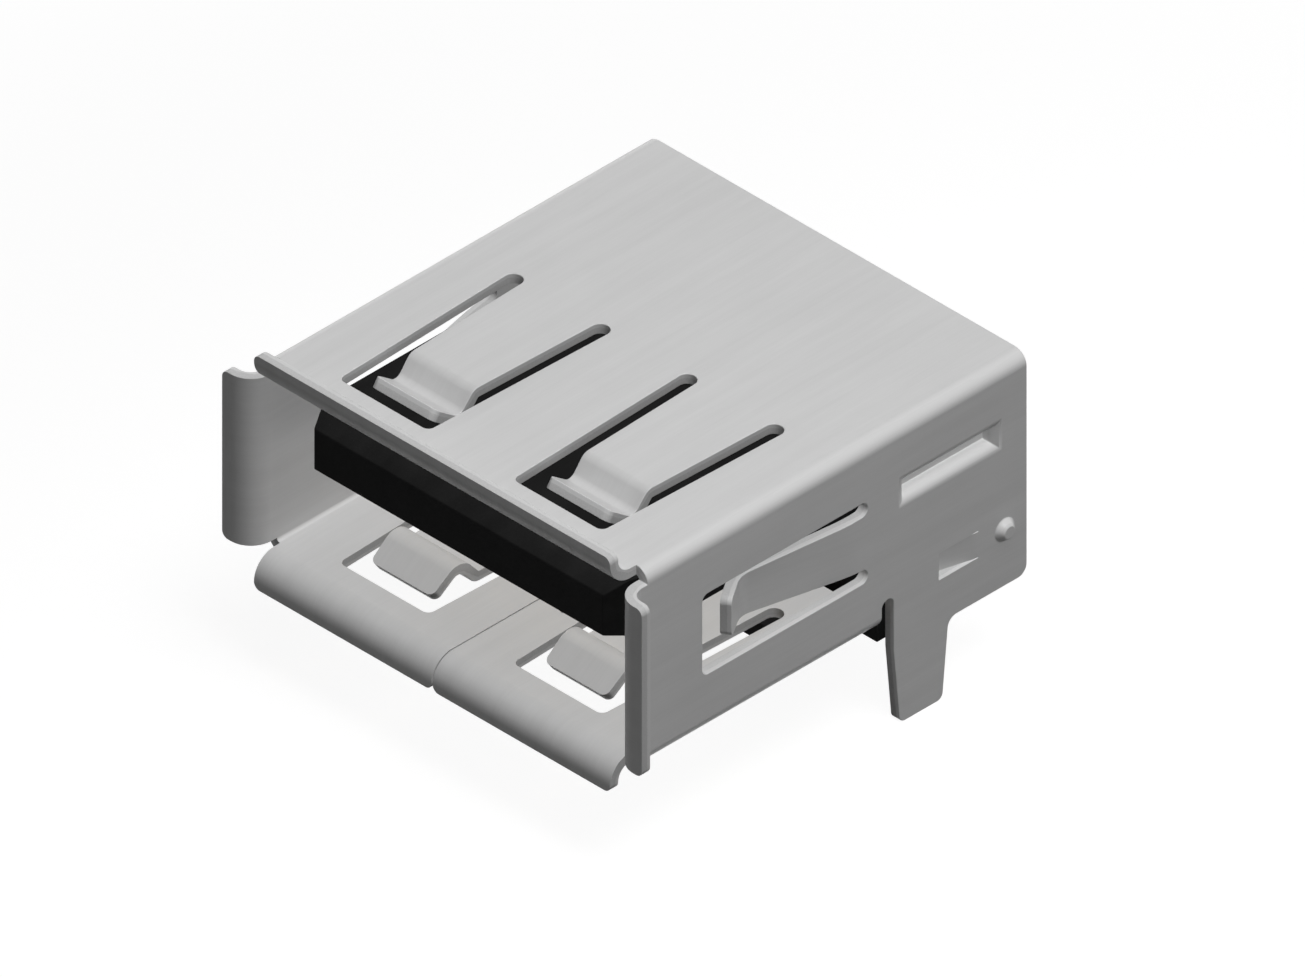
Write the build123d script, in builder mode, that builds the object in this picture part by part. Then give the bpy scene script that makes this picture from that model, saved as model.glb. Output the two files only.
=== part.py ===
from build123d import *
import os
from math import cos, radians, sin, tan

# Type A socket for a circuit board, in millimetres.
# The origin lies on the board plane, midway between the two legs. The plug enters towards +Y, and +Z is up.
# Lengths along the socket are counted backwards from the mouth, which is the front plane of the flares.

# Sheet of the shell
sheet = 0.30
bend_inside = 0.10
bend_outside = bend_inside + sheet
cut_depth = 3 * sheet

# Shell, measured over its outer faces
shell_width = 13.10
shell_height = 5.80
shell_length = 14.00
standoff = 0.80
seam_gap = 0.04

# Dovetail key that locks the seam in the floor
key_setback = 4.60
key_length = 1.80
key_neck = 1.20
key_reach = 0.80

# Flares round the mouth
flare_inside = 0.40
flare_outside = flare_inside + sheet
flare_root = 0.90
plate_flare_rise = 0.60
wall_flare_rise = 0.70
flare_corner = 0.20

# Legs that are soldered into the board
leg_setback = 10.35
leg_width = 1.90
leg_tip_width = 1.47
leg_depth = 2.30
leg_corner = 0.20
leg_root_radius = 0.30
relief_width = 0.40
relief_height = 0.80
skirt_corner = 0.30

# Contact springs in the top and bottom plates
plate_spring_offset = 3.00
plate_spring_root = 2.50
plate_spring_taper_angle = 2.0
plate_window_front = 1.33
plate_window_length = 6.23
plate_window_corner = 0.20
plate_slot_width = 0.50
plate_spring_flat = 3.794
plate_spring_angle = 50.0
plate_spring_depth = 0.585
plate_lip_angle = 36.0
plate_lip_length = 0.937
plate_lip_corner = 0.20
plate_fold_radius = 0.35
plate_valley_radius = 0.25

# Contact springs in the side walls
wall_spring_root = 1.60
wall_spring_taper_angle = 3.0
wall_window_front = 2.80
wall_window_length = 5.70
wall_window_corner = 0.20
wall_slot_width = 0.40
wall_spring_flat = 0.014
wall_spring_angle = 9.9
wall_spring_depth = 0.571
wall_lip_angle = 33.3
wall_lip_length = 1.01
wall_lip_corner = 0.19
wall_fold_radius = 4.0
wall_valley_radius = 0.735

# Drawn pocket in each side wall, which stops the insulator, between two margins of plain sheet
pocket_front_margin = 0.52
pocket_rear_margin = 1.14
pocket_height = 3.80
pocket_width = 0.40
pocket_depth = 0.40
pocket_radius = 0.29

# Sheared lance in each side wall, which locks the insulator, with its root measured from the rear
lance_inset = 1.68
lance_height = 0.90
lance_length = 1.36
lance_width = 0.80
lance_angle = 15.3
lance_radius = 0.70
lance_shear = 0.02

# Raised stud near the rear of each side wall
stud_inset = 0.78
stud_height = 0.89
stud_rise = 0.20
stud_root_radius = 0.33
stud_tip_radius = 0.18

# Moulded insulator
fit_gap = 0.05
base_width = 12.10
base_setback = 9.32
base_recess = 0.20
toe_width = 11.00
toe_setback = 7.32
toe_height = 0.58
tongue_width = 10.74
tongue_height = 1.84
tongue_underside = 2.76
tongue_setback = 0.915
nose_side = 0.38
nose_side_run = 0.76
nose_top = 0.31
nose_top_run = 0.62
nose_bottom = 0.31
nose_bottom_run = 1.24

# Contacts
contact_sheet = 0.25
contact_width = 1.00
inner_offset = 1.00
outer_offset = 3.50
contact_gap = 0.03
groove_depth = 0.55
groove_setback = 1.90
contact_tip_setback = 2.60
contact_tip_drop = 0.28
crown_setback = 4.13
crown_drop = 0.62
knee_setback = 8.20
crown_radius = 0.80
knee_radius = 3.00
tail_bend_inside = 0.25
tail_inset = 0.94
tail_width = 0.70
tail_depth = 2.30
tail_chamfer = 0.18

# Places worked out from the sizes
mouth_y = -leg_setback
rear_y = mouth_y + shell_length
shell_bottom = standoff
shell_top = standoff + shell_height
shell_middle = standoff + shell_height / 2
half_width = shell_width / 2
relief_radius = relief_width / 2
floor_length = leg_setback - leg_width / 2 - relief_width
pocket_front = base_setback + pocket_front_margin
pocket_rear = shell_length - pocket_rear_margin
pocket_length = pocket_rear - pocket_front
pocket_setback = (pocket_front + pocket_rear) / 2
lance_root = shell_length - lance_inset
lance_front = lance_root - lance_length
stud_setback = shell_length - stud_inset
mouth = Plane(origin=(0, mouth_y, 0), x_dir=(-1, 0, 0), z_dir=(0, 1, 0))


def wall_places(setback, height):
    # A form drawn on a level sheet, with its outer face at Z 0, stands on the right and the left wall.
    y = mouth_y + setback
    right = Location((half_width, y, shell_bottom + height), (0, 90, 0))
    left = Location((-half_width, y, shell_bottom + height), (0, -90, 0))
    return [right, left]


def plate_places(offset, setback):
    # The same for the top plate and, turned over, for the bottom plate.
    y = mouth_y + setback
    top = Location((offset, y, shell_top), (0, 0, 0))
    bottom = Location((offset, y, shell_bottom), (0, 180, 0))
    return [top, bottom]


def make_flare(width, rise):
    # One wall's edge, bent outwards through a quarter turn.
    with BuildPart() as flare:
        with BuildSketch(Plane.YZ):
            with BuildLine():
                FilletPolyline((flare_root, -sheet), (0, -sheet), (0, rise), radius=flare_outside)
                offset(amount=sheet, side=Side.RIGHT)
            make_face()
        extrude(amount=width / 2, both=True)
        tip_corners = flare.edges().filter_by(Axis.Y).group_by(Axis.Z)[-1]
        fillet(tip_corners, flare_corner)
    return flare.part


def make_window(root_width, slot_width, length, taper_angle, corner):
    # The cut-out of a spring, from its front edge at Y 0 to the round ends of the slots beside the root.
    run = length - slot_width / 2
    root_half = root_width / 2 + slot_width
    front_half = root_half - run * tan(radians(taper_angle))
    slot_centre = root_half - slot_width / 2
    with BuildPart() as window:
        with BuildSketch(Plane.XY.offset(-cut_depth / 2)) as outline:
            with BuildLine():
                Polyline((-front_half, 0), (front_half, 0), (root_half, run), (-root_half, run), close=True)
            make_face()
            fillet(outline.vertices().group_by(Axis.Y)[0], corner)
            with Locations((-slot_centre, run), (slot_centre, run)):
                Circle(slot_width / 2)
        extrude(amount=cut_depth)
    return window.part


def make_spring(root_width, taper_angle, flat, angle, depth, lip_angle, lip_length, radii, corner):
    # A tapered tongue of the sheet that dips into the cavity, with its tip turned back out.
    # It is flat from its root at Y 0 to the start of the first fold.
    fold_y = -flat - radii[0] * tan(radians(angle / 2))
    valley_y = fold_y - depth / tan(radians(angle))
    tip_y = valley_y - lip_length * cos(radians(lip_angle))
    tip_z = lip_length * sin(radians(lip_angle)) - depth
    reach = sheet - tip_y
    end_half = root_width / 2 - reach * tan(radians(taper_angle))
    with BuildPart() as spring:
        with BuildSketch(Plane.YZ):
            with BuildLine():
                FilletPolyline((0, 0), (fold_y, 0), (valley_y, -depth), (tip_y, tip_z), radius=radii)
                offset(amount=sheet, side=Side.LEFT)
            make_face()
        extrude(amount=root_width / 2, both=True)
        with BuildSketch():
            with BuildLine():
                Polyline(
                    (-root_width / 2, 0),
                    (root_width / 2, 0),
                    (end_half, -reach),
                    (-end_half, -reach),
                    close=True,
                )
            make_face()
        extrude(amount=depth + 2 * sheet, both=True, mode=Mode.INTERSECT)
        tip_corners = spring.faces().sort_by(Axis.Y)[0].edges().sort_by(SortBy.LENGTH)[:2]
        fillet(tip_corners, corner)
    return spring.part


def make_pocket():
    # A cup drawn inwards from the sheet, with its rim rounded over.
    with BuildPart() as pocket:
        Box(
            pocket_width + 2 * sheet,
            pocket_length + 2 * sheet,
            sheet + pocket_depth,
            align=(Align.CENTER, Align.CENTER, Align.MAX),
        )
        Box(
            pocket_width,
            pocket_length,
            pocket_depth,
            align=(Align.CENTER, Align.CENTER, Align.MAX),
            mode=Mode.SUBTRACT,
        )
        rim = pocket.faces().sort_by(Axis.Z)[-1].inner_wires()[0]
        fillet(rim.edges(), pocket_radius)
    return pocket.part


def make_lance():
    # A tab sheared on three sides and pushed inwards, hinged at Y 0 and free towards the mouth.
    run = lance_length * cos(radians(lance_angle))
    drop = lance_length * sin(radians(lance_angle))
    flat = lance_radius * tan(radians(lance_angle / 2)) + lance_shear
    with BuildPart() as lance:
        with BuildSketch(Plane.YZ):
            with BuildLine():
                FilletPolyline((0, 0), (-flat, 0), (-run, flat * drop / run - drop), radius=lance_radius)
                offset(amount=sheet, side=Side.LEFT)
            make_face()
        extrude(amount=lance_width / 2 - lance_shear, both=True)
    return lance.part


# Rear of the shell: a hood that stands on the board, with both legs
with BuildPart() as hood:
    with BuildSketch(mouth.offset(floor_length)):
        with BuildLine():
            FilletPolyline(
                (-half_width, -leg_depth),
                (-half_width, shell_top),
                (half_width, shell_top),
                (half_width, -leg_depth),
                radius=bend_outside,
            )
            offset(amount=sheet, side=Side.RIGHT)
        make_face()
    extrude(amount=shell_length - floor_length)
    with BuildSketch(Plane.YZ) as side_view:
        with BuildLine():
            Polyline(
                (mouth_y + floor_length, shell_top),
                (rear_y, shell_top),
                (rear_y, 0),
                (leg_width / 2, 0),
                (leg_tip_width / 2, -leg_depth),
                (-leg_tip_width / 2, -leg_depth),
                (-leg_width / 2, 0),
                (mouth_y + floor_length, 0),
                close=True,
            )
        make_face()
        fillet(side_view.vertices().group_by(Axis.Y)[0], leg_corner)
        fillet(side_view.vertices().sort_by_distance((rear_y, 0))[0], skirt_corner)
        fillet(side_view.vertices().sort_by_distance((leg_width / 2, 0))[0], leg_root_radius)
    extrude(amount=shell_width, both=True, mode=Mode.INTERSECT)

plate_flare = make_flare(shell_width - 2 * bend_outside, plate_flare_rise)
floor_flare_width = half_width - bend_outside - seam_gap / 2
floor_flare = make_flare(floor_flare_width, plate_flare_rise)
wall_flare = make_flare(shell_height - 2 * bend_outside, wall_flare_rise)
plate_window = make_window(
    plate_spring_root, plate_slot_width, plate_window_length, plate_spring_taper_angle, plate_window_corner
)
wall_window = make_window(wall_spring_root, wall_slot_width, wall_window_length, 0, wall_window_corner)
plate_spring = make_spring(
    plate_spring_root,
    plate_spring_taper_angle,
    plate_spring_flat,
    plate_spring_angle,
    plate_spring_depth,
    plate_lip_angle,
    plate_lip_length,
    [plate_fold_radius, plate_valley_radius],
    plate_lip_corner,
)
wall_spring = make_spring(
    wall_spring_root,
    wall_spring_taper_angle,
    wall_spring_flat,
    wall_spring_angle,
    wall_spring_depth,
    wall_lip_angle,
    wall_lip_length,
    [wall_fold_radius, wall_valley_radius],
    wall_lip_corner,
)
pocket = make_pocket()
lance = make_lance()

# Shell: one folded sheet with its seam along the middle of the floor
key_y = mouth_y + key_setback
with BuildPart() as shell:
    with BuildSketch(mouth.offset(flare_root)):
        with Locations((0, shell_middle)):
            RectangleRounded(shell_width, shell_height, bend_outside)
            RectangleRounded(
                shell_width - 2 * sheet, shell_height - 2 * sheet, bend_inside, mode=Mode.SUBTRACT
            )
    extrude(amount=floor_length - flare_root)
    with BuildSketch(Plane.XY.offset(shell_bottom)):
        with BuildLine():
            Polyline(
                (0, mouth_y),
                (0, key_y - key_neck / 2),
                (key_reach, key_y - key_length / 2),
                (key_reach, key_y + key_length / 2),
                (0, key_y + key_neck / 2),
                (0, mouth_y + floor_length),
            )
            offset(amount=seam_gap / 2)
        make_face()
    extrude(amount=sheet, mode=Mode.SUBTRACT)
    add(hood.part)
    relief_end = (mouth_y + floor_length + relief_radius, shell_bottom + relief_height - relief_radius)
    with BuildSketch(Plane.YZ):
        with Locations(relief_end):
            SlotCenterPoint((0, -relief_height), (0, 0), relief_width)
    extrude(amount=shell_width, both=True, mode=Mode.SUBTRACT)

    # Flares
    with Locations(plate_places(0, 0)[0]):
        add(plate_flare)
    seam_side = (floor_flare_width + seam_gap) / 2
    with Locations(plate_places(seam_side, 0)[1], plate_places(-seam_side, 0)[1]):
        add(floor_flare)
    with Locations(wall_places(0, shell_height / 2)):
        add(wall_flare)

    # Springs
    plate_root = plate_window_front + plate_window_length - plate_slot_width / 2
    wall_root = wall_window_front + wall_window_length - wall_slot_width / 2
    for offset_x in (-plate_spring_offset, plate_spring_offset):
        with Locations(plate_places(offset_x, plate_window_front)):
            add(plate_window, mode=Mode.SUBTRACT)
        with Locations(plate_places(offset_x, plate_root)):
            add(plate_spring)
    with Locations(wall_places(wall_window_front, shell_height / 2)):
        add(wall_window, mode=Mode.SUBTRACT)
    with Locations(wall_places(wall_root, shell_height / 2)):
        add(wall_spring)

    # Drawn pockets
    with Locations(wall_places(pocket_setback, pocket_height)):
        Box(pocket_width + 2 * sheet, pocket_length + 2 * sheet, cut_depth, mode=Mode.SUBTRACT)
        add(pocket)

    # Lances
    with Locations(wall_places(lance_front, lance_height)):
        Box(
            lance_width,
            lance_length,
            cut_depth,
            align=(Align.CENTER, Align.MIN, Align.CENTER),
            mode=Mode.SUBTRACT,
        )
    with Locations(wall_places(lance_root, lance_height)):
        add(lance)

    # Studs, pressed out from inside
    with Locations(wall_places(stud_setback, stud_height)):
        Cone(stud_root_radius, stud_tip_radius, stud_rise, align=(Align.CENTER, Align.CENTER, Align.MIN))
        with Locations((0, 0, -sheet)):
            Cone(
                stud_root_radius,
                stud_tip_radius,
                stud_rise,
                align=(Align.CENTER, Align.CENTER, Align.MIN),
                mode=Mode.SUBTRACT,
            )

shell.part.label = "shell"

# Insulator: a block that fills the rear of the shell, with the tongue that the plug slides over
base_top = shell_top - sheet - fit_gap
base_front = mouth_y + base_setback
base_rear = rear_y - base_recess
tongue_z = shell_bottom + tongue_underside
groove_width = contact_width + 2 * contact_gap
groove_ceiling = tongue_z + groove_depth
tail_y = rear_y - tail_inset
contact_offsets = (-outer_offset, -inner_offset, inner_offset, outer_offset)

with BuildPart() as insulator:
    with BuildSketch(Plane.YZ):
        with BuildLine():
            Polyline(
                (mouth_y + toe_setback, 0),
                (base_rear, 0),
                (base_rear, base_top),
                (base_front, base_top),
                (base_front, toe_height),
                (mouth_y + toe_setback, toe_height),
                close=True,
            )
        make_face()
    extrude(amount=base_width / 2, both=True)
    toe_trim = (base_width - toe_width) / 2
    for side in (-1, 1):
        with Locations((side * base_width / 2, mouth_y + toe_setback, 0)):
            Box(
                2 * toe_trim,
                base_setback - toe_setback,
                toe_height,
                align=(Align.CENTER, Align.MIN, Align.MIN),
                mode=Mode.SUBTRACT,
            )

    # Tongue
    with Locations((0, mouth_y + tongue_setback, tongue_z)):
        Box(
            tongue_width,
            base_setback - tongue_setback,
            tongue_height,
            align=(Align.CENTER, Align.MIN, Align.MIN),
        )
    nose = insulator.faces().sort_by(Axis.Y)[0]
    chamfer(nose.edges().filter_by(Axis.Z), nose_side, nose_side_run, reference=nose)
    nose = insulator.faces().sort_by(Axis.Y)[0]
    chamfer(nose.edges().sort_by(Axis.Z)[-1], nose_top, nose_top_run, reference=nose)
    nose = insulator.faces().sort_by(Axis.Y)[0]
    chamfer(nose.edges().sort_by(Axis.Z)[0], nose_bottom, nose_bottom_run, reference=nose)

    # Grooves for the contacts under the tongue, running through the base to a slot at the back
    slot_front = tail_y - contact_sheet / 2 - tail_bend_inside - contact_gap
    with Locations(*[(x, mouth_y + groove_setback, groove_ceiling) for x in contact_offsets]):
        Box(
            groove_width,
            base_setback - groove_setback,
            groove_depth,
            align=(Align.CENTER, Align.MIN, Align.MAX),
            mode=Mode.SUBTRACT,
        )
    with Locations(*[(x, base_front, groove_ceiling) for x in contact_offsets]):
        Box(
            groove_width,
            slot_front - base_front,
            contact_sheet + 2 * contact_gap,
            align=(Align.CENTER, Align.MIN, Align.MAX),
            mode=Mode.SUBTRACT,
        )
    with Locations(*[(x, slot_front, 0) for x in contact_offsets]):
        Box(
            groove_width,
            base_rear - slot_front,
            groove_ceiling,
            align=(Align.CENTER, Align.MIN, Align.MIN),
            mode=Mode.SUBTRACT,
        )

    # Side grooves for the shell's drawn pockets and recesses for its lances
    catch_depth = sheet + pocket_depth + fit_gap
    with Locations(wall_places(base_setback, pocket_height)):
        Box(
            pocket_width + 2 * sheet + 2 * fit_gap,
            pocket_rear + sheet + fit_gap - base_setback,
            catch_depth,
            align=(Align.CENTER, Align.MIN, Align.MAX),
            mode=Mode.SUBTRACT,
        )
    with Locations(wall_places(lance_front - fit_gap, lance_height)):
        Box(
            lance_width + 2 * fit_gap,
            lance_length + 2 * fit_gap,
            catch_depth,
            align=(Align.CENTER, Align.MIN, Align.MAX),
            mode=Mode.SUBTRACT,
        )

insulator.part.label = "insulator"


def make_contact(x):
    # One bent strip: sprung beam under the tongue, straight run through the base, tail through the board.
    seat_z = groove_ceiling - contact_gap
    tip = (mouth_y + contact_tip_setback, seat_z - contact_tip_drop)
    crown = (mouth_y + crown_setback, tongue_z - crown_drop + contact_sheet)
    knee = (mouth_y + knee_setback, seat_z)
    heel = (tail_y + contact_sheet / 2, seat_z)
    toe = (tail_y + contact_sheet / 2, -tail_depth)
    radii = [crown_radius, knee_radius, tail_bend_inside + contact_sheet]
    with BuildPart() as contact:
        with BuildSketch(Plane.YZ.offset(x)):
            with BuildLine():
                FilletPolyline(tip, crown, knee, heel, toe, radius=radii)
                offset(amount=contact_sheet, side=Side.RIGHT)
            make_face()
        extrude(amount=contact_width / 2, both=True)
        with BuildSketch(Plane.XZ.offset(-base_front)):
            trim_top = seat_z - contact_sheet - tail_bend_inside
            for side in (-1, 1):
                with Locations((x + side * contact_width / 2, trim_top)):
                    Rectangle(
                        contact_width - tail_width,
                        trim_top + tail_depth,
                        align=(Align.CENTER, Align.MAX),
                    )
        extrude(amount=base_front - rear_y, mode=Mode.SUBTRACT)
        end_edges = contact.edges().group_by(Axis.Z)[0].filter_by(Axis.Y)
        chamfer(end_edges, tail_chamfer)
    return contact.part


os.makedirs("parts", exist_ok=True)
export_step(shell.part, "parts/shell.step")
export_step(insulator.part, "parts/insulator.step")
for number, offset_x in enumerate(contact_offsets, start=1):
    contact = make_contact(offset_x)
    contact.label = f"contact_{number}"
    export_step(contact, f"parts/contact_{number}.step")
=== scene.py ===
import bpy
import bmesh
import math
from mathutils import Matrix, Vector


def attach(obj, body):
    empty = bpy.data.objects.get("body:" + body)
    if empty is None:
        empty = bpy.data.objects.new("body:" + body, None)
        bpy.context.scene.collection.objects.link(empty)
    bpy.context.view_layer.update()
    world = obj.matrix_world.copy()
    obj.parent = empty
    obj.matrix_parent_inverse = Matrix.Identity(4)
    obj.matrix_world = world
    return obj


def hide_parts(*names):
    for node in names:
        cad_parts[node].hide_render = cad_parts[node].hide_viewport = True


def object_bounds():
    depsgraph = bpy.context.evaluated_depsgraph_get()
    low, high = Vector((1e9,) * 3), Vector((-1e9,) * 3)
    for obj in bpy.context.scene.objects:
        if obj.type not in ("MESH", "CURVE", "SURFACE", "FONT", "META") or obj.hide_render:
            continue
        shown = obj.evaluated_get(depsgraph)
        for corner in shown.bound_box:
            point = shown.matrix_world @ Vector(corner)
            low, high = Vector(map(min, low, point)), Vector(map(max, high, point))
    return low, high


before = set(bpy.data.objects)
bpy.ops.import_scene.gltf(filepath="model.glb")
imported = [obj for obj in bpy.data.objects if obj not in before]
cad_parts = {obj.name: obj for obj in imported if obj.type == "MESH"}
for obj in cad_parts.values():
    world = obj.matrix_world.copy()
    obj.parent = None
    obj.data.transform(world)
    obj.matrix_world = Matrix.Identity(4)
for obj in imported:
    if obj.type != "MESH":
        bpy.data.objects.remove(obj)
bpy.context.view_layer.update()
mm = 0.001
bpy.context.scene.view_settings.view_transform = "Standard"


# View: straight down the corner of the box, with no perspective
viewValues = {
    "azimuth": 45.0,
    "elevation": math.degrees(math.atan(math.sqrt(0.5))),
    "lookAt": (1.258, -3.990, 3.700),  # mm, middle of the picture
    "pictureWidth": 31.863,  # mm across the picture
    "distance": 100.0,  # mm
}


def placeCamera():
    turn = math.radians(viewValues["azimuth"])
    rise = math.radians(viewValues["elevation"])
    back = Vector((math.sin(turn) * math.cos(rise), -math.cos(turn) * math.cos(rise), math.sin(rise)))
    bpy.ops.object.camera_add()
    camera = bpy.context.object
    camera.name = "pictureCamera"
    camera.data.type = "ORTHO"
    camera.data.ortho_scale = viewValues["pictureWidth"] * mm
    camera.data.clip_start = 1 * mm
    camera.location = (Vector(viewValues["lookAt"]) + back * viewValues["distance"]) * mm
    camera.rotation_euler = (-back).to_track_quat("-Z", "Y").to_euler()
    bpy.context.scene.camera = camera


# Studio: one large soft lamp above and to the right, its twin that fills the shadows,
# and a weak one behind for the sides that the picture doesn't show
studioValues = {
    "distance": 220.0,  # mm from the middle of the picture to each lamp
    # direction, width in mm, level (1 shows a white sheet that faces the lamp as white), shadow
    "lamps": {
        "softLamp": ((0.336, -0.034, 0.930), 120.0, 0.10, True),
        "twinLamp": ((0.336, -0.034, 0.930), 120.0, 0.865, False),
        "backLamp": ((-0.740, 0.650, 0.060), 200.0, 0.18, True),
    },
    "fillLevel": 0.012,
    "floorTone": 0.035,  # what the floor throws back on the part
    "floorShown": 1.0,  # what takes the shadow
    "floorGlow": 0.205,
    "floorFade": (16.0, 34.0),  # mm from the part, where the floor turns to plain white
    "floorSize": 900.0,  # mm
    "floorGap": 0.002,  # mm under the lowest tip
}


def mathStep(tree, operation, first, second):
    step = tree.nodes.new("ShaderNodeMath")
    step.operation = operation
    for place, value in ((0, first), (1, second)):
        if isinstance(value, (int, float)):
            step.inputs[place].default_value = value
        else:
            tree.links.new(value, step.inputs[place])
    return step.outputs[0]


def remap(tree, source, fromMin, fromMax, toMin, toMax):
    ramp = tree.nodes.new("ShaderNodeMapRange")
    ends = {"From Min": fromMin, "From Max": fromMax, "To Min": toMin, "To Max": toMax}
    for name, value in ends.items():
        ramp.inputs[name].default_value = value
    tree.links.new(source, ramp.inputs["Value"])
    return ramp.outputs["Result"]


def whiteSwitch(tree):
    # 1 where the camera, gloss or glass sees the background, 0 for the light that falls on the part
    path = tree.nodes.new("ShaderNodeLightPath")
    seen = mathStep(tree, "MAXIMUM", path.outputs["Is Camera Ray"], path.outputs["Is Glossy Ray"])
    seen = mathStep(tree, "MAXIMUM", seen, path.outputs["Is Transmission Ray"])
    direct = mathStep(tree, "LESS_THAN", path.outputs["Diffuse Depth"], 0.5)
    return mathStep(tree, "MULTIPLY", seen, direct)


def hangLamps():
    for name, (direction, width, level, castsShadow) in studioValues["lamps"].items():
        aim = Vector(direction).normalized()
        away = studioValues["distance"]
        bpy.ops.object.light_add(type="AREA")
        lamp = bpy.context.object
        lamp.name = name
        lamp.data.shape = "DISK"
        lamp.data.size = width * mm
        lamp.data.energy = level * (math.pi * away * mm) ** 2
        lamp.data.use_shadow = castsShadow
        lamp.location = (Vector(viewValues["lookAt"]) + aim * away) * mm
        lamp.rotation_euler = (-aim).to_track_quat("-Z", "Y").to_euler()


def lightRoom():
    world = bpy.data.worlds.new("paleRoom")
    bpy.context.scene.world = world
    world.use_nodes = True
    tree = world.node_tree
    tree.nodes.clear()
    mix = tree.nodes.new("ShaderNodeMixShader")
    tree.links.new(whiteSwitch(tree), mix.inputs["Fac"])
    for place, level in ((1, studioValues["fillLevel"]), (2, 1.0)):
        light = tree.nodes.new("ShaderNodeBackground")
        light.inputs["Color"].default_value = (1, 1, 1, 1)
        light.inputs["Strength"].default_value = level
        tree.links.new(light.outputs[0], mix.inputs[place])
    output = tree.nodes.new("ShaderNodeOutputWorld")
    tree.links.new(mix.outputs[0], output.inputs["Surface"])


def layFloor():
    values = studioValues
    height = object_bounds()[0].z - values["floorGap"] * mm
    bpy.ops.mesh.primitive_plane_add(size=values["floorSize"] * mm, location=(0, 0, height))
    floor = bpy.context.object
    floor.name = "paleFloor"
    paint = bpy.data.materials.new("palePaint")
    paint.use_nodes = True
    tree = paint.node_tree
    tree.nodes.clear()
    seen = whiteSwitch(tree)
    diffuse = tree.nodes.new("ShaderNodeBsdfDiffuse")
    tone = remap(tree, seen, 0.0, 1.0, values["floorTone"], values["floorShown"])
    tree.links.new(tone, diffuse.inputs["Color"])
    glow = tree.nodes.new("ShaderNodeEmission")
    tree.links.new(mathStep(tree, "MULTIPLY", seen, values["floorGlow"]), glow.inputs["Strength"])
    painted = tree.nodes.new("ShaderNodeAddShader")
    tree.links.new(diffuse.outputs[0], painted.inputs[0])
    tree.links.new(glow.outputs[0], painted.inputs[1])

    place = tree.nodes.new("ShaderNodeTexCoord")
    away = tree.nodes.new("ShaderNodeVectorMath")
    away.operation = "LENGTH"
    tree.links.new(place.outputs["Object"], away.inputs[0])
    near, far = [reach * mm for reach in values["floorFade"]]
    faded = mathStep(tree, "MULTIPLY", seen, remap(tree, away.outputs["Value"], near, far, 0.0, 1.0))
    face = tree.nodes.new("ShaderNodeNewGeometry")
    path = tree.nodes.new("ShaderNodeLightPath")
    below = mathStep(tree, "MULTIPLY", face.outputs["Backfacing"], path.outputs["Is Camera Ray"])
    white = tree.nodes.new("ShaderNodeEmission")
    clear = tree.nodes.new("ShaderNodeBsdfTransparent")  # a look from below passes the floor
    shader = painted
    for share, other in ((faded, white), (below, clear)):
        mix = tree.nodes.new("ShaderNodeMixShader")
        tree.links.new(share, mix.inputs["Fac"])
        tree.links.new(shader.outputs[0], mix.inputs[1])
        tree.links.new(other.outputs[0], mix.inputs[2])
        shader = mix
    output = tree.nodes.new("ShaderNodeOutputMaterial")
    tree.links.new(shader.outputs[0], output.inputs["Surface"])
    floor.data.materials.append(paint)


placeCamera()
hangLamps()
lightRoom()
layFloor()
print("studio ready")


# Finishes: every pattern is measured in millimetres on the part's own coordinates
def newFinish(name, metal, gloss):
    material = bpy.data.materials.new(name)
    material.use_nodes = True
    shader = material.node_tree.nodes["Principled BSDF"]
    shader.inputs["Metallic"].default_value = metal
    shader.inputs["Specular IOR Level"].default_value = gloss
    return material, material.node_tree, shader


def noise(tree, perMm, detail=2.0, shift=0.0):
    # Soft spots, or streaks where the counts per mm differ along X, Y and Z
    place = tree.nodes.new("ShaderNodeTexCoord")
    spread = tree.nodes.new("ShaderNodeMapping")
    spread.inputs["Scale"].default_value = [count / mm for count in perMm]
    spread.inputs["Location"].default_value = (shift, shift, shift)
    tree.links.new(place.outputs["Object"], spread.inputs["Vector"])
    cloud = tree.nodes.new("ShaderNodeTexNoise")
    cloud.inputs["Scale"].default_value = 1.0
    cloud.inputs["Detail"].default_value = detail
    cloud.inputs["Roughness"].default_value = 0.55
    tree.links.new(spread.outputs["Vector"], cloud.inputs["Vector"])
    return cloud.outputs["Fac"]


def blend(tree, share, first, second):
    mix = tree.nodes.new("ShaderNodeMix")
    mix.data_type = "RGBA"
    tree.links.new(share, mix.inputs[0])
    for place, value in ((6, first), (7, second)):  # the two colour inputs
        if isinstance(value, tuple):
            mix.inputs[place].default_value = value
        else:
            tree.links.new(value, mix.inputs[place])
    return mix.outputs[2]


def faceTurn(tree):
    # How far a face looks sideways and how far up or down
    face = tree.nodes.new("ShaderNodeNewGeometry")
    split = tree.nodes.new("ShaderNodeSeparateXYZ")
    tree.links.new(face.outputs["Normal"], split.inputs[0])
    return [mathStep(tree, "ABSOLUTE", split.outputs[axis], 0.0) for axis in "XZ"]


def sheetGrain(tree, across, along, detail=2.0, shift=0.0):
    # Streaks along Y that stay in the sheet: across X on the plates, across Z on the walls
    sideways, upright = faceTurn(tree)
    both = mathStep(tree, "ADD", sideways, upright)
    both = mathStep(tree, "ADD", both, 0.001)  # never zero, on faces that look along Y
    onWall = mathStep(tree, "DIVIDE", sideways, both)
    plates = noise(tree, (across, along, along), detail, shift)
    walls = noise(tree, (along, along, across), detail, shift)
    change = mathStep(tree, "MULTIPLY", mathStep(tree, "SUBTRACT", walls, plates), onWall)
    return mathStep(tree, "ADD", plates, change)


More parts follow.
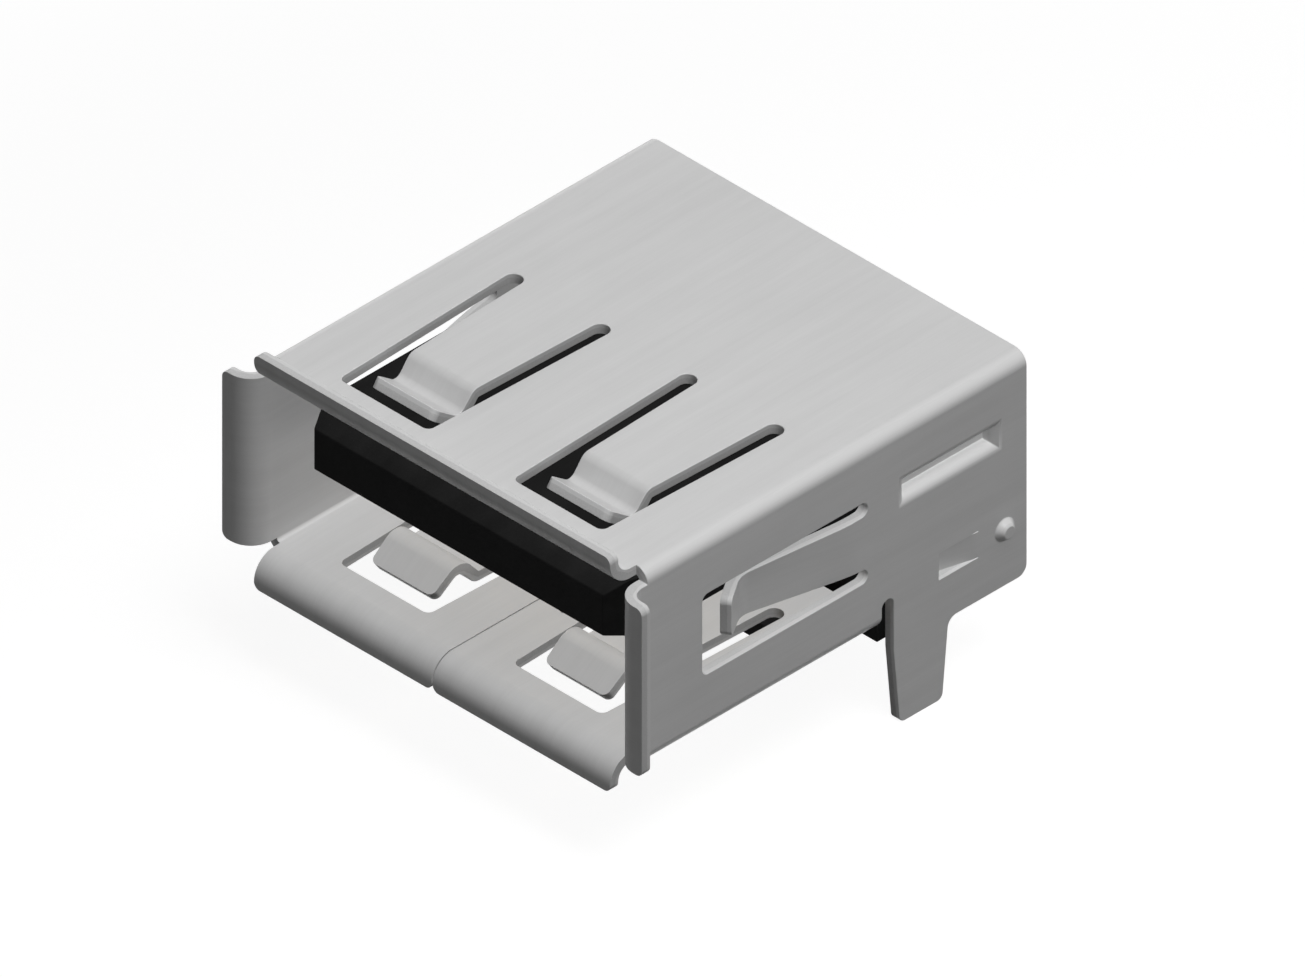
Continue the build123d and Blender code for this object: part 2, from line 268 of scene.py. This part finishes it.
def relief(tree, shader, layers):
    # Layers of (height, depth in mm), one on the other
    under = None
    for height, depth in layers:
        bump = tree.nodes.new("ShaderNodeBump")
        bump.inputs["Distance"].default_value = depth * mm
        tree.links.new(height, bump.inputs["Height"])
        if under:
            tree.links.new(under, bump.inputs["Normal"])
        under = bump.outputs["Normal"]
    tree.links.new(under, shader.inputs["Normal"])


def grey(level):
    return (level, level, level, 1)


# Preparation of every piece's mesh
meshValues = {
    "mergeWithin": 0.005,  # mm
    "flatWithin": 0.3,  # degrees between faces that are joined into one
    "hardAngle": 35.0,  # degrees, past which an edge is rounded
    "smoothAngle": 60.0,  # degrees, up to which the shading runs on
    "bevelSegments": 2,
}


def copyNode(nodeName, pieceName):
    # The solid's own faces, merged and made whole again
    piece = bpy.data.objects.new(pieceName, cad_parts[nodeName].data.copy())
    bpy.context.scene.collection.objects.link(piece)
    piece.data.materials.clear()
    bpy.ops.object.select_all(action="DESELECT")
    piece.select_set(True)
    bpy.context.view_layer.objects.active = piece
    bpy.ops.object.mode_set(mode="EDIT")
    bpy.ops.mesh.select_all(action="SELECT")
    bpy.ops.mesh.customdata_custom_splitnormals_clear()
    bpy.ops.mesh.remove_doubles(threshold=meshValues["mergeWithin"] * mm)
    bpy.ops.object.mode_set(mode="OBJECT")
    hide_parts(nodeName)
    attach(piece, "root")
    return piece


def easeEdges(piece, radius, innerShare=1.0, narrowZone=None, narrowShare=1.0):
    # Every hard edge is rounded. On the inner side of a sheet and beside narrow gaps
    # it gets only a share of the radius.
    values = meshValues
    bpy.ops.object.mode_set(mode="EDIT")
    bpy.ops.mesh.select_all(action="SELECT")
    flat = math.radians(values["flatWithin"])
    bpy.ops.mesh.dissolve_limited(angle_limit=flat, delimit={"NORMAL", "MATERIAL"})
    bpy.ops.object.mode_set(mode="OBJECT")
    hard = math.radians(values["hardAngle"])
    form = bmesh.new()
    form.from_mesh(piece.data)
    weight = form.edges.layers.float.new("bevel_weight_edge")
    through = form.verts.layers.float.get("throughSheet")
    for edge in form.edges:
        if edge.calc_face_angle(0.0) > hard:
            depth = sum(vertex[through] for vertex in edge.verts) / 2 if through else 0.0
            edge[weight] = 1.0 + depth * (innerShare - 1.0)
            middle = (edge.verts[0].co + edge.verts[1].co) / 2 / mm
            if narrowZone and all(low < middle[axis] < high for axis, low, high in narrowZone):
                edge[weight] *= narrowShare
    form.to_mesh(piece.data)
    form.free()
    bevel = piece.modifiers.new("easedEdges", "BEVEL")
    bevel.width = radius * mm
    bevel.segments = values["bevelSegments"]
    bevel.limit_method = "WEIGHT"
    bevel.use_clamp_overlap = False
    bpy.ops.object.modifier_apply(modifier=bevel.name)
    bpy.ops.object.shade_smooth_by_angle(angle=math.radians(values["smoothAngle"]))
    # Flat faces keep flat shading. It is worked out at a larger size, because it skips tiny faces.
    piece.data.transform(Matrix.Scale(1 / mm, 4))
    weigh = piece.modifiers.new("flatShading", "WEIGHTED_NORMAL")
    weigh.keep_sharp = True
    bpy.ops.object.modifier_apply(modifier=weigh.name)
    piece.data.transform(Matrix.Scale(mm, 4))


# Shell: tinned steel strip, stamped, drawn and folded
shellValues = {
    "edgeRadius": 0.024,  # mm where the punch went in
    "innerShare": 0.35,  # of that radius on the other side
    "lanceZone": ((1, 0.4, 2.2), (2, 1.2, 2.2)),  # mm along Y and Z, round the lances' narrow gaps
    "lanceShare": 0.35,  # of the radius there
    "sheet": 0.30,  # mm
    "sheetSlack": 1.3,  # times that, between faces that are still the two sides of the sheet
    "flareDepth": 0.95,  # mm behind the mouth
    "middleHeight": 3.70,  # mm
    "metal": 0.0,
    "gloss": 0.30,
    "tone": 0.60,
    "toneSpread": 0.045,
    "grainPerMm": (18.0, 0.7),  # across and along the rolling, which runs along the socket
    "grainShare": 0.30,
    "streakPerMm": (2.6, 0.12),
    "streakShare": 0.40,
    "cloudPerMm": (0.45, 0.30, 0.45),
    "cloudShare": 0.30,
    "pebblePerMm": (11.0, 11.0, 11.0),
    "grainDepth": 0.0016,  # mm
    "pebbleDepth": 0.0010,  # mm
    "roughness": (0.36, 0.48),
    "foldHighlightAndBurnish": 0.18,  # painted highlight: how much brighter the folds between walls and plates are coloured; also how much smoother they are, burnished
    "shearedTone": 0.585,
    "cleanTone": 1.06,  # times that tone, before the edge is torn
    "tornTone": 0.84,
    "shearedRoughness": (0.34, 0.62),
    "cleanShare": 0.46,  # of the sheared edge, smooth before it is torn
    "tearWidth": 0.06,  # of the edge, where one turns to the other
    "tearWander": 0.16,
    "wanderPerMm": (9.0, 9.0, 9.0),
    "crumbPerMm": (28.0, 28.0, 28.0),
    "crumbDepth": 0.004,  # mm
}


def markShearedEdges(piece):
    # Faces that look along the sheet are sheared. throughSheet is 0 outside the sheet and 1 inside.
    values = shellValues
    mesh = piece.data
    mouth = min(vertex.co.y for vertex in mesh.vertices)
    through = [0.5] * len(mesh.vertices)
    for face in mesh.polygons:
        start = face.center - face.normal * 0.001 * mm
        hit, farSide, _, _ = piece.ray_cast(start, -face.normal)
        if not hit or (farSide - start).length > values["sheetSlack"] * values["sheet"] * mm:
            face.material_index = 1
            continue
        # The way out of the socket, which is about twice as wide as high
        height = face.center.z - values["middleHeight"] * mm
        outward = Vector((face.center.x / 2, 0, height)).normalized()
        facing = face.normal.dot(outward)
        if face.center.y < mouth + values["flareDepth"] * mm:
            facing += face.normal.y
        for index in face.vertices:
            through[index] = 0.0 if facing > 0 else 1.0
    mesh.attributes.new("throughSheet", "FLOAT", "POINT").data.foreach_set("value", through)


def makeTinnedSheet():
    values = shellValues
    material, tree, shader = newFinish("tinnedSheet", values["metal"], values["gloss"])
    grain = sheetGrain(tree, *values["grainPerMm"], detail=3.0)
    streak = sheetGrain(tree, *values["streakPerMm"], shift=3.0)
    cloud = noise(tree, values["cloudPerMm"], detail=3.0, shift=7.0)
    pebble = noise(tree, values["pebblePerMm"])
    mixed = mathStep(tree, "MULTIPLY", grain, values["grainShare"])
    for part, share in ((cloud, values["cloudShare"]), (streak, values["streakShare"])):
        mixed = mathStep(tree, "ADD", mixed, mathStep(tree, "MULTIPLY", part, share))
    mixed = remap(tree, mixed, 0.35, 0.65, 0.0, 1.0)
    sideways, upright = faceTurn(tree)
    folded = mathStep(tree, "MULTIPLY", sideways, upright)
    folded = mathStep(tree, "MULTIPLY", folded, 2.0)  # 1 in the middle of a fold, 0 on walls and plates
    # The folds get a painted highlight: the colour is made brighter where the face turns between
    # sideways and up. The lower roughness there stands for burnish.
    dull = grey(values["tone"] - values["toneSpread"] / 2)
    clean = grey(values["tone"] + values["toneSpread"] / 2)
    paintedFoldHighlight = grey(values["tone"] * (1 + values["foldHighlightAndBurnish"]))
    colour = blend(tree, folded, blend(tree, mixed, dull, clean), paintedFoldHighlight)
    tree.links.new(colour, shader.inputs["Base Color"])
    smooth, rough = values["roughness"]
    matte = remap(tree, mixed, 0.0, 1.0, rough, smooth)
    matte = mathStep(tree, "SUBTRACT", matte, mathStep(tree, "MULTIPLY", folded, values["foldHighlightAndBurnish"]))
    tree.links.new(matte, shader.inputs["Roughness"])
    relief(tree, shader, [(grain, values["grainDepth"]), (pebble, values["pebbleDepth"])])
    return material


def makeShearedEdge():
    # Smooth where the punch went in and torn below
    values = shellValues
    material, tree, shader = newFinish("shearedEdge", values["metal"], values["gloss"])
    depth = tree.nodes.new("ShaderNodeAttribute")
    depth.attribute_name = "throughSheet"
    wander = noise(tree, values["wanderPerMm"], detail=3.0)
    crumb = noise(tree, values["crumbPerMm"])
    line = mathStep(tree, "MULTIPLY", wander, values["tearWander"])
    line = mathStep(tree, "ADD", depth.outputs["Fac"], line)
    clean, blur = values["cleanShare"], values["tearWidth"] / 2
    torn = remap(tree, line, clean - blur, clean + blur, 0.0, 1.0)
    shade = mathStep(tree, "MULTIPLY", torn, remap(tree, crumb, 0.3, 0.7, 0.5, 1.0))
    bright = grey(values["shearedTone"] * values["cleanTone"])
    dark = grey(values["shearedTone"] * values["tornTone"])
    tree.links.new(blend(tree, shade, bright, dark), shader.inputs["Base Color"])
    tree.links.new(remap(tree, torn, 0.0, 1.0, *values["shearedRoughness"]), shader.inputs["Roughness"])
    relief(tree, shader, [(mathStep(tree, "MULTIPLY", torn, crumb), values["crumbDepth"])])
    return material


def makeShell():
    values = shellValues
    piece = copyNode("shell", "foldedShell")
    markShearedEdges(piece)
    lances = values["lanceZone"], values["lanceShare"]
    easeEdges(piece, values["edgeRadius"], values["innerShare"], *lances)
    piece.data.materials.append(makeTinnedSheet())
    piece.data.materials.append(makeShearedEdge())


# Insulator: black moulding with a fine eroded grain
insulatorValues = {
    "edgeRadius": 0.035,  # mm
    "gloss": 0.015,
    "tones": (0.0125, 0.0190),
    "flowPerMm": (1.3, 0.35, 1.3),
    "grainPerMm": (14.0, 14.0, 14.0),
    "grainDepth": 0.0045,  # mm
    "roughness": (0.46, 0.62),
}


def makeInsulator():
    values = insulatorValues
    piece = copyNode("insulator", "mouldedInsulator")
    easeEdges(piece, values["edgeRadius"])
    material, tree, shader = newFinish("blackMoulding", 0.0, values["gloss"])
    flow = noise(tree, values["flowPerMm"], detail=4.0)
    grain = noise(tree, values["grainPerMm"])
    tone = remap(tree, flow, 0.3, 0.7, 0.0, 1.0)
    dark, light = [grey(level) for level in values["tones"]]
    tree.links.new(blend(tree, tone, dark, light), shader.inputs["Base Color"])
    tree.links.new(remap(tree, grain, 0.3, 0.7, *values["roughness"]), shader.inputs["Roughness"])
    relief(tree, shader, [(grain, values["grainDepth"])])
    piece.data.materials.append(material)


# Contacts: gold over the spring, satin tin on the tails
contactValues = {
    "edgeRadius": 0.020,  # mm
    "gold": (0.73, 0.50, 0.17, 1),
    "paleGold": (0.80, 0.60, 0.26, 1),
    "tin": (0.40, 0.40, 0.39, 1),
    "tinLine": (1.15, 1.35),  # mm above the board
    "drawPerMm": (20.0, 1.2, 1.2),
    "drawDepth": 0.0012,  # mm
    "roughness": (0.24, 0.36),
}


def makePlatedContact():
    values = contactValues
    material, tree, shader = newFinish("platedContact", 1.0, 0.5)
    draw = noise(tree, values["drawPerMm"], detail=3.0)
    place = tree.nodes.new("ShaderNodeTexCoord")
    split = tree.nodes.new("ShaderNodeSeparateXYZ")
    tree.links.new(place.outputs["Object"], split.inputs[0])
    low, high = [height * mm for height in values["tinLine"]]
    tinned = remap(tree, split.outputs["Z"], low, high, 1.0, 0.0)
    gold = blend(tree, remap(tree, draw, 0.3, 0.7, 0.0, 1.0), values["gold"], values["paleGold"])
    tree.links.new(blend(tree, tinned, gold, values["tin"]), shader.inputs["Base Color"])
    tree.links.new(remap(tree, draw, 0.3, 0.7, *values["roughness"]), shader.inputs["Roughness"])
    relief(tree, shader, [(draw, values["drawDepth"])])
    return material


def makeContacts():
    plating = makePlatedContact()
    for nodeName in sorted(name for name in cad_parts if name.startswith("contact")):
        piece = copyNode(nodeName, nodeName.replace("contact_", "springContact"))
        easeEdges(piece, contactValues["edgeRadius"])
        piece.data.materials.append(plating)


makeShell()
print("shell dressed")
makeInsulator()
print("insulator dressed")
makeContacts()
print("contacts dressed")
